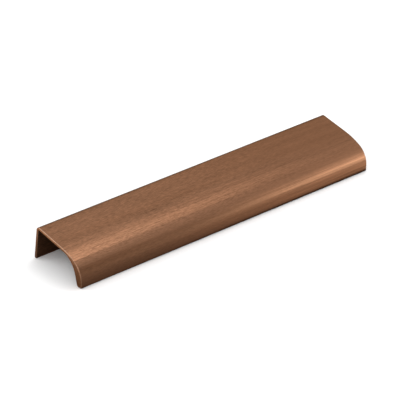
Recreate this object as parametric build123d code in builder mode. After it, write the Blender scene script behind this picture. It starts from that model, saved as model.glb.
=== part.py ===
from build123d import *
from math import asin, atan2, cos, degrees, radians, sin, tan
import os

# Lip pull handle: one extruded strip with a back leg, a flat plate and a thick curled lip.
# All sizes are in millimetres and all angles in degrees.

# The strip
pull_length = 200.0
wall = 1.6
leg_height = 20.8
inner_corner_radius = 0.9
end_radius = 0.4

# The outside of the plate and lip, from the back corner to the tip
flat_depth = 20.8
crown_radius = 41.0
crown_angle = 17.5
bend_radius = 10.9
bend_angle = 66.7
lip_straight = 3.6

# The foot of the lip, and the inside of the lip up to the plate's underside
foot_width = 3.6
foot_angle = 17.0
lip_inside_angle = 67.5
inner_bend_radius = 12.5

# Rounded edges of the two feet that the pull stands on
leg_edge_radius = 0.35
tip_radius = 0.4
foot_radius = 1.2

# Countersunk screw holes through the back leg
hole_pitch = 160.0
hole_radius = 2.25
countersink_radius = 3.4
countersink_angle = 90.0

# Section of the strip: forward is to the right, the back-top corner is at the origin
with BuildSketch() as section:
    with BuildLine() as outline:
        top = Line((0, 0), (flat_depth, 0))
        crown = JernArc(top @ 1, top % 1, crown_radius, -crown_angle)
        bend = JernArc(crown @ 1, crown % 1, bend_radius, -bend_angle)
        lip = Line(bend @ 1, bend @ 1 + lip_straight * (bend % 1))
        foot = PolarLine(lip @ 1, foot_width, 180 + foot_angle)
        underside_level = Line((0, -wall), ((lip @ 1).X, -wall), mode=Mode.PRIVATE)
        lip_rise = Vector(-cos(radians(lip_inside_angle)), sin(radians(lip_inside_angle)))
        lip_slant = IntersectingLine(foot @ 1, lip_rise, underside_level, mode=Mode.PRIVATE)
        inner_bend_reach = inner_bend_radius * tan(radians(lip_inside_angle) / 2)
        underside = Line((wall, -wall), ((lip_slant @ 1).X - inner_bend_reach, -wall))
        inner_bend = JernArc(underside @ 1, underside % 1, inner_bend_radius, -lip_inside_angle)
        lip_inside = Line(inner_bend @ 1, foot @ 1)
        leg_inside = Line(underside @ 0, (wall, -leg_height))
        leg_foot = Line(leg_inside @ 1, (0, -leg_height))
        leg_outside = Line(leg_foot @ 1, top @ 0)
    make_face()
    fillet(section.vertices().sort_by_distance(top @ 0)[0], inner_corner_radius + wall)
    fillet(section.vertices().sort_by_distance(underside @ 0)[0], inner_corner_radius)
    fillet(section.vertices().sort_by_distance(leg_foot @ 0)[0], leg_edge_radius)
    fillet(section.vertices().sort_by_distance(leg_foot @ 1)[0], leg_edge_radius)
    fillet(section.vertices().sort_by_distance(foot @ 0)[0], tip_radius)
    fillet(section.vertices().sort_by_distance(foot @ 1)[0], foot_radius)

# Unheld, the pull stands on the rounded inner edges of its leg and its lip, so it leans forward
rounds = section.edges().filter_by(GeomType.CIRCLE)
leg_round = rounds.sort_by_distance(leg_foot @ 0)[0]
lip_round = rounds.sort_by_distance(foot @ 1)[0]
stride = lip_round.arc_center - leg_round.arc_center
lean = degrees(atan2(stride.Y, stride.X) + asin((leg_round.radius - lip_round.radius) / stride.length))
leaning_section = Rot(Z=-lean) * section.sketch
extent = leaning_section.bounding_box()
section_plane = Plane(origin=(0, extent.center().X, -extent.min.Y), x_dir=(0, -1, 0), z_dir=(-1, 0, 0))

with BuildPart() as lip_pull:
    extrude(section_plane * leaning_section, amount=pull_length / 2, both=True)
    fillet(lip_pull.faces().filter_by(Axis.X).edges(), end_radius)
    wide_faces = lip_pull.faces().filter_by(GeomType.PLANE).sort_by(SortBy.AREA)[-4:]
    leg_back = wide_faces.sort_by(Axis.Y)[-1]
    leg_plane = Plane(origin=leg_back.center(), x_dir=(1, 0, 0), z_dir=leg_back.normal_at())
    with Locations(leg_plane):
        with GridLocations(hole_pitch, 1, 2, 1):
            CounterSinkHole(hole_radius, countersink_radius, 2 * wall, countersink_angle)
lip_pull.part.label = "lip_pull"

os.makedirs("parts", exist_ok=True)
export_step(lip_pull.part, "parts/lip_pull.step")
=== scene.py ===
from math import pi, radians

import bmesh
import bpy
from mathutils import Matrix, Vector

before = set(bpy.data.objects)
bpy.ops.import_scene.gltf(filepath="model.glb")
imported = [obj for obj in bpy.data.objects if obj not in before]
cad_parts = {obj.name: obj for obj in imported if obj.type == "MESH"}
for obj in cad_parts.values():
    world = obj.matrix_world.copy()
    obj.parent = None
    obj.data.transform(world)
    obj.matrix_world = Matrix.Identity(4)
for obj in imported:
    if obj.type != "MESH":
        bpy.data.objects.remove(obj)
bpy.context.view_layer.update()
scene = bpy.context.scene
print("frame loaded:", ", ".join(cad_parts))


# node helpers, used by the finish, the stage and the world alike
def addNode(tree, kind, **settings):
    node = tree.nodes.new(kind)
    for name, value in settings.items():
        setattr(node, name, value)
    return node


def setInputs(node, **values):
    for name, value in values.items():
        node.inputs[name.replace("_", " ")].default_value = value


def feed(tree, socket, value):
    if isinstance(value, bpy.types.NodeSocket):
        tree.links.new(value, socket)
    else:
        socket.default_value = value


def mathNode(tree, operation, *values):
    node = addNode(tree, "ShaderNodeMath", operation=operation)
    for socket, value in zip(node.inputs, values):
        feed(tree, socket, value)
    return node.outputs["Value"]


def ramp(tree, value, low, high, atLow=0.0, atHigh=1.0):
    node = addNode(tree, "ShaderNodeMapRange", interpolation_type="SMOOTHSTEP", clamp=True)
    amounts = {"Value": value, "From Min": low, "From Max": high, "To Min": atLow, "To Max": atHigh}
    for name, amount in amounts.items():
        feed(tree, node.inputs[name], amount)
    return node.outputs["Result"]


def objectCoords(tree):
    coords = addNode(tree, "ShaderNodeTexCoord").outputs["Object"]
    split = addNode(tree, "ShaderNodeSeparateXYZ")
    tree.links.new(coords, split.inputs["Vector"])
    return coords, split.outputs["X"], split.outputs["Y"]


def scaledColour(tree, colour, amount):
    node = addNode(tree, "ShaderNodeVectorMath", operation="SCALE")
    tree.links.new(colour, node.inputs["Vector"])
    tree.links.new(amount, node.inputs["Scale"])
    return node.outputs["Vector"]


def mixColour(tree, factor, first, second):
    node = addNode(tree, "ShaderNodeMix", data_type="RGBA", clamp_factor=True)
    tree.links.new(factor, node.inputs["Factor"])
    colours = [socket for socket in node.inputs if socket.type == "RGBA"]
    feed(tree, colours[0], first)
    feed(tree, colours[1], second)
    return [socket for socket in node.outputs if socket.type == "RGBA"][0]


def newMaterial(name):
    material = bpy.data.materials.new(name)
    material.use_nodes = True
    tree = material.node_tree
    tree.nodes.clear()
    shader = addNode(tree, "ShaderNodeBsdfPrincipled")
    output = addNode(tree, "ShaderNodeOutputMaterial")
    tree.links.new(shader.outputs["BSDF"], output.inputs["Surface"])
    return material, tree, shader


# finish: satin copper brushed along the length of the pull, bare and dull on the sawn ends
# places are metres from the middle, the near end and the front being below zero
# four values are a ramp: where it starts and ends, then the amount at each
copper = {
    "nearColour": (0.2195, 0.1078, 0.0600, 1.0),
    "farColour": (0.2215, 0.1055, 0.0570, 1.0),
    "hueAlong": (-0.1, 0.1),  # where the near colour turns into the far one
    "hueSwing": 1.6,  # how unevenly it does
    "edgeTint": (0.53, 0.482, 0.44, 1.0),  # keeps a shallow view from going pale
    "wearAndHighlightColour": (0.48, 0.325, 0.235, 1.0),  # worn edge beside the sawn end, partly a painted highlight on its rounding
    "sawnColour": (0.34, 0.158, 0.082, 1.0),
    "grain": {"size": 0.00026, "length": 0.0026, "detail": 2.0, "offset": (3.1, 0.7, 5.2)},
    "streak": {"size": 0.00055, "length": 0.050, "detail": 2.0, "offset": (0.4, 2.9, 7.7)},
    "band": {"size": 0.0024, "length": 0.045, "detail": 1.0, "offset": (6.3, 4.1, 1.8)},
    "hue": {"size": 0.0050, "length": 0.090, "detail": 1.0, "offset": (2.2, 8.4, 3.6)},
    "noiseRoughness": 0.55,
    "grainTone": 1.8,
    "streakTone": 0.28,
    "bandTone": 0.30,
    "grainFade": (-0.02, 0.09, 1.0, 0.38),  # the brushing is fainter towards the far end
    "lipFade": (-0.0185, -0.0140, 0.5, 1.0),  # and on the lip
    "crownStreak": 0.8,  # stronger streaks along the crown
    "crownFront": (-0.0165, -0.0125, 0.0, 1.0),
    "crownBack": (-0.0065, -0.0020, 1.0, 0.0),
    "lipStreak": 1.15,  # and on the lip towards the far end
    "lipAlong": (-0.02, 0.06, 0.0, 1.0),
    "lipDepth": (-0.0192, -0.0172, 1.0, 0.0),
    "backPaintedShade": (0.0120, 0.0190, 1.0, 0.87),  # painted shade: a little darker along the back corner
    "roughness": 0.286,
    "roughnessSwing": 0.04,
    "sawnRoughness": 0.36,
    "grainDepth": 0.000015,
    "streakDepth": 0.000015,
    "wearAndHighlightFrom": (0.09958, 0.09972),  # where the worn edge and its painted highlight begin, towards both ends
    "wearAndHighlightFade": (-0.0150, -0.0080, 0.5, 1.0),  # less worn and less painted highlight on the lip
    "sawnFrom": (0.09982, 0.09992),  # where the sawn end begins
}


def stretchedNoise(tree, coords, size, length, detail, offset):
    mapping = addNode(tree, "ShaderNodeMapping", vector_type="POINT")
    setInputs(mapping, Location=offset, Scale=(1.0 / length, 1.0 / size, 1.0 / size))
    tree.links.new(coords, mapping.inputs["Vector"])
    noise = addNode(tree, "ShaderNodeTexNoise", noise_dimensions="3D")
    setInputs(noise, Scale=1.0, Detail=detail, Roughness=copper["noiseRoughness"])
    tree.links.new(mapping.outputs["Vector"], noise.inputs["Vector"])
    return mathNode(tree, "SUBTRACT", noise.outputs["Fac"], 0.5)  # swings about zero


def makeCopper():
    material, tree, shader = newMaterial("satinCopper")
    coords, along, depth = objectCoords(tree)
    grain = stretchedNoise(tree, coords, **copper["grain"])
    streak = stretchedNoise(tree, coords, **copper["streak"])
    band = stretchedNoise(tree, coords, **copper["band"])
    hue = stretchedNoise(tree, coords, **copper["hue"])

    def rampOf(value, key):
        return ramp(tree, value, *copper[key])

    # where the brushing is fainter, and where its streaks are stronger
    fade = mathNode(tree, "MULTIPLY", rampOf(along, "grainFade"), rampOf(depth, "lipFade"))
    crown = mathNode(tree, "MULTIPLY", rampOf(depth, "crownFront"), rampOf(depth, "crownBack"))
    farLip = mathNode(tree, "MULTIPLY", rampOf(along, "lipAlong"), rampOf(depth, "lipDepth"))
    lipStreak = mathNode(tree, "MULTIPLY", streak, farLip)
    grain = mathNode(tree, "MULTIPLY", grain, fade)
    streak = mathNode(tree, "MULTIPLY", streak, fade)

    # the sawn ends, and the worn edges beside them, which also carry a painted highlight
    fromMiddle = mathNode(tree, "ABSOLUTE", along)
    sawn = rampOf(fromMiddle, "sawnFrom")
    wearAndHighlight = mathNode(tree, "SUBTRACT", rampOf(fromMiddle, "wearAndHighlightFrom"), sawn)
    wearAndHighlight = mathNode(tree, "MULTIPLY", wearAndHighlight, rampOf(depth, "wearAndHighlightFade"))

    # colour: a slow drift from a rosier to a browner copper, then grain, streaks and bands of tone
    drift = mathNode(tree, "MULTIPLY_ADD", hue, copper["hueSwing"], rampOf(along, "hueAlong"))
    mixed = mixColour(tree, drift, copper["nearColour"], copper["farColour"])
    # worn edge beside the sawn ends, partly a painted highlight
    mixed = mixColour(tree, wearAndHighlight, mixed, copper["wearAndHighlightColour"])
    mixed = mixColour(tree, sawn, mixed, copper["sawnColour"])
    streakTone = mathNode(tree, "MULTIPLY_ADD", crown, copper["crownStreak"], copper["streakTone"])
    tone = mathNode(tree, "MULTIPLY_ADD", grain, copper["grainTone"], 1.0)
    tone = mathNode(tree, "MULTIPLY_ADD", streak, streakTone, tone)
    tone = mathNode(tree, "MULTIPLY_ADD", lipStreak, copper["lipStreak"], tone)
    tone = mathNode(tree, "MULTIPLY_ADD", band, copper["bandTone"], tone)
    # painted shade: the colour is darkened along the back corner
    tone = mathNode(tree, "MULTIPLY", tone, rampOf(depth, "backPaintedShade"))
    tree.links.new(scaledColour(tree, mixed, tone), shader.inputs["Base Color"])

    # roughness follows the streaks, and the sawn ends are duller
    base = ramp(tree, sawn, 0.0, 1.0, copper["roughness"], copper["sawnRoughness"])
    roughness = mathNode(tree, "MULTIPLY_ADD", streak, copper["roughnessSwing"], base)
    tree.links.new(roughness, shader.inputs["Roughness"])

    # the brushing's own depth, in metres
    height = mathNode(tree, "MULTIPLY", grain, copper["grainDepth"])
    height = mathNode(tree, "MULTIPLY_ADD", streak, copper["streakDepth"], height)
    bump = addNode(tree, "ShaderNodeBump")
    setInputs(bump, Strength=1.0, Distance=1.0)
    tree.links.new(height, bump.inputs["Height"])
    tree.links.new(bump.outputs["Normal"], shader.inputs["Normal"])
    setInputs(shader, Metallic=1.0, Specular_Tint=copper["edgeTint"])
    return material


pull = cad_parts["lip_pull"]
satinCopper = makeCopper()
for holder in pull.material_slots:
    holder.material = satinCopper
print("finish on the pull:", satinCopper.name)


# stage: a pale floor, and warm grey cards that only the metal mirrors; the two that lie on the floor
# are painted shade under and in front of the pull
# a card's place is its depth and height, and its tone goes from one to the other along the fade
floor = {"half": 4.0, "colour": (0.92, 0.92, 0.92, 1.0)}
warmGrey = (1.0, 0.92, 0.83, 1.0)
paleGrey = (1.0, 0.945, 0.89, 1.0)
cards = {
    "standing": {
        "across": (-0.30, 0.30), "deep": (0.0, 0.40), "place": (-0.37, 0.0), "turn": 90.0,
        "tones": (0.43, 0.043), "fade": (0.187, 0.357), "tint": warmGrey,
    },
    # painted shade on the floor in front of the pull, seen only in the metal: dark at the near end,
    # pale towards the far end
    "paintedShadeFront": {
        "across": (-0.115, 0.45), "deep": (-0.18, -0.0223), "place": (0.0, 0.0003), "turn": 0.0,
        "tones": (0.385, 0.97), "fade": (-0.07, 0.106), "tint": paleGrey,
    },
    # painted shade on the floor under the pull, seen only in the metal, darker towards the far end
    "paintedShadeUnder": {
        "across": (-0.118, 0.105), "deep": (-0.0230, 0.060), "place": (0.0, 0.0002), "turn": 0.0,
        "tones": (0.29, 0.10), "fade": (-0.1, 0.1), "tint": paleGrey,
    },
    "behind": {
        "across": (-0.10, 1.00), "deep": (0.0, 0.243), "place": (0.45, 0.0), "turn": 90.0,
        "tones": (0.30, 0.25), "fade": (-0.1, 0.1), "tint": warmGrey,
    },
}


def stageSheet(name, across, deep, material, turn=0.0, place=(0.0, 0.0)):
    sheet = bmesh.new()
    bmesh.ops.create_grid(sheet, x_segments=1, y_segments=1, size=0.5)
    bmesh.ops.scale(sheet, vec=(across[1] - across[0], deep[1] - deep[0], 1.0), verts=sheet.verts)
    bmesh.ops.translate(sheet, vec=(sum(across) / 2, sum(deep) / 2, 0.0), verts=sheet.verts)
    bmesh.ops.rotate(sheet, matrix=Matrix.Rotation(radians(turn), 3, "X"), verts=sheet.verts)
    bmesh.ops.translate(sheet, vec=(0.0, *place), verts=sheet.verts)
    mesh = bpy.data.meshes.new(name)
    sheet.to_mesh(mesh)
    sheet.free()
    mesh.materials.append(material)
    obj = bpy.data.objects.new(name, mesh)
    scene.collection.objects.link(obj)
    return obj


def mattMaterial(name):
    material, tree, shader = newMaterial(name)
    setInputs(shader, Roughness=1.0, Specular_IOR_Level=0.0)
    return material, tree, shader


def makeCardFade():
    group = bpy.data.node_groups.new("cardFade", "ShaderNodeTree")
    numbers = ("Fade Start", "Fade End", "Start Tone", "End Tone")
    for name in numbers:
        group.interface.new_socket(name, in_out="INPUT", socket_type="NodeSocketFloat")
    group.interface.new_socket("Tint", in_out="INPUT", socket_type="NodeSocketColor")
    group.interface.new_socket("Color", in_out="OUTPUT", socket_type="NodeSocketColor")
    given = addNode(group, "NodeGroupInput").outputs
    result = addNode(group, "NodeGroupOutput").inputs
    along = objectCoords(group)[1]
    tone = ramp(group, along, *[given[name] for name in numbers])
    group.links.new(scaledColour(group, given["Tint"], tone), result["Color"])
    return group


floorPaint, tree, shader = mattMaterial("paleFloor")
setInputs(shader, Base_Color=floor["colour"])
floorReach = (-floor["half"], floor["half"])
stageSheet("floor", floorReach, floorReach, floorPaint)
cardFade = makeCardFade()
for name, card in cards.items():
    paint, tree, shader = mattMaterial(name + "Grey")
    fade = addNode(tree, "ShaderNodeGroup", node_tree=cardFade)
    setInputs(fade, Fade_Start=card["fade"][0], Fade_End=card["fade"][1], Tint=card["tint"])
    setInputs(fade, Start_Tone=card["tones"][0], End_Tone=card["tones"][1])
    tree.links.new(fade.outputs["Color"], shader.inputs["Base Color"])
    sheet = stageSheet(name + "Card", card["across"], card["deep"], paint, card["turn"], card["place"])
    sheet.visible_camera = False
    sheet.visible_diffuse = False
    sheet.visible_shadow = False
print("stage set:", ", ".join(cards))


# light: soft boxes and an even surround
# a box's glow is how bright it looks in a mirror
lipAim = (0.08, -0.02, 0.015)
crownAim = (-0.04, -0.015, 0.02)
softBoxes = {
    "overCrown": {
        "place": (0.10, 0.097, 0.42), "aim": crownAim, "size": (0.145, 0.075), "glow": 0.2,
    },
    "crownNear": {
        "place": (0.06, 0.084, 0.42), "aim": (0.06, -0.015, 0.02), "size": (0.157, 0.045), "glow": 5.1,
    },
    "crownMid": {
        "place": (0.15, 0.060, 0.42), "aim": (0.15, -0.015, 0.02), "size": (0.255, 0.045), "glow": 2.6,
    },
    "crownFar": {
        "place": (0.215, 0.05, 0.42), "aim": (0.215, -0.015, 0.02), "size": (0.305, 0.06), "glow": 0.33,
    },
    "overBend": {
        "place": (0.085, -0.120, 0.42), "aim": crownAim, "size": (0.21, 0.17), "glow": 0.50,
    },
    "besideLip": {
        "place": (0.29, -0.29, 0.036), "aim": lipAim, "size": (0.13, 0.14), "glow": 2.35,
        "tint": (0.9, 0.98, 1.0),
    },
    "besidePlate": {
        "place": (0.415, -0.31, 0.105), "aim": lipAim, "size": (0.47, 0.40), "glow": 1.18,
    },
    "rightFill": {
        "place": (0.45, -0.12, 0.30), "aim": (0.08, -0.04, 0.0), "size": (0.35, 0.30), "glow": 0.21,
    },
    "lowRight": {
        "place": (0.33, -0.186, 0.06), "aim": (0.12, -0.06, 0.0), "size": (0.08, 0.06), "glow": 8.5,
        "mirrored": False,
    },
    "behindPlate": {
        "place": (0.267, 0.40, 0.52), "aim": (0.0, 0.0, 0.02), "size": (0.30, 0.30), "glow": 0.25,
    },
    "behindEnd": {
        "place": (-0.38, 0.40, 0.34), "aim": (-0.1, 0.0, 0.01), "size": (0.30, 0.40), "glow": 1.5,
    },
    "frontLeft": {
        "place": (-0.60, -0.40, 0.50), "aim": (-0.05, 0.0, 0.0), "size": (0.70, 0.50), "glow": 1.2,
    },
}
plainWhite = (1.0, 1.0, 1.0)
for name, box in softBoxes.items():
    lamp = bpy.data.lights.new(name, "AREA")
    lamp.shape = "RECTANGLE"
    lamp.color = box.get("tint", plainWhite)
    lamp.size, lamp.size_y = box["size"]
    lamp.energy = box["glow"] * pi * lamp.size * lamp.size_y
    holder = bpy.data.objects.new(name, lamp)
    scene.collection.objects.link(holder)
    holder.location = box["place"]
    aim = Vector(box["aim"]) - holder.location
    holder.rotation_euler = aim.to_track_quat("-Z", "Y").to_euler()
    holder.visible_camera = False
    holder.visible_glossy = box.get("mirrored", True)

world = bpy.data.worlds.new("whiteRoom")
world.use_nodes = True
scene.world = world
tree = world.node_tree
tree.nodes.clear()
room = addNode(tree, "ShaderNodeBackground")
setInputs(room, Color=(*plainWhite, 1.0), Strength=1.0)
output = addNode(tree, "ShaderNodeOutputWorld")
tree.links.new(room.outputs["Background"], output.inputs["Surface"])
print("light set:", ", ".join(softBoxes))


# camera, at the photograph's viewing angle
view = {
    "place": (-0.805589, -0.992691, 0.749300),
    "elevation": 30.097,
    "azimuth": -38.938,
    "lens": 243.7,
    "sensor": 36.0,
    "clip": (0.05, 50.0),
}
lens = bpy.data.cameras.new("camera")
lens.sensor_width = view["sensor"]
lens.lens = view["lens"]
lens.clip_start, lens.clip_end = view["clip"]
camera = bpy.data.objects.new("camera", lens)
scene.collection.objects.link(camera)
camera.location = view["place"]
camera.rotation_euler = (radians(90.0 - view["elevation"]), 0.0, radians(view["azimuth"]))
scene.camera = camera
scene.view_settings.view_transform = "Standard"
print("camera set")
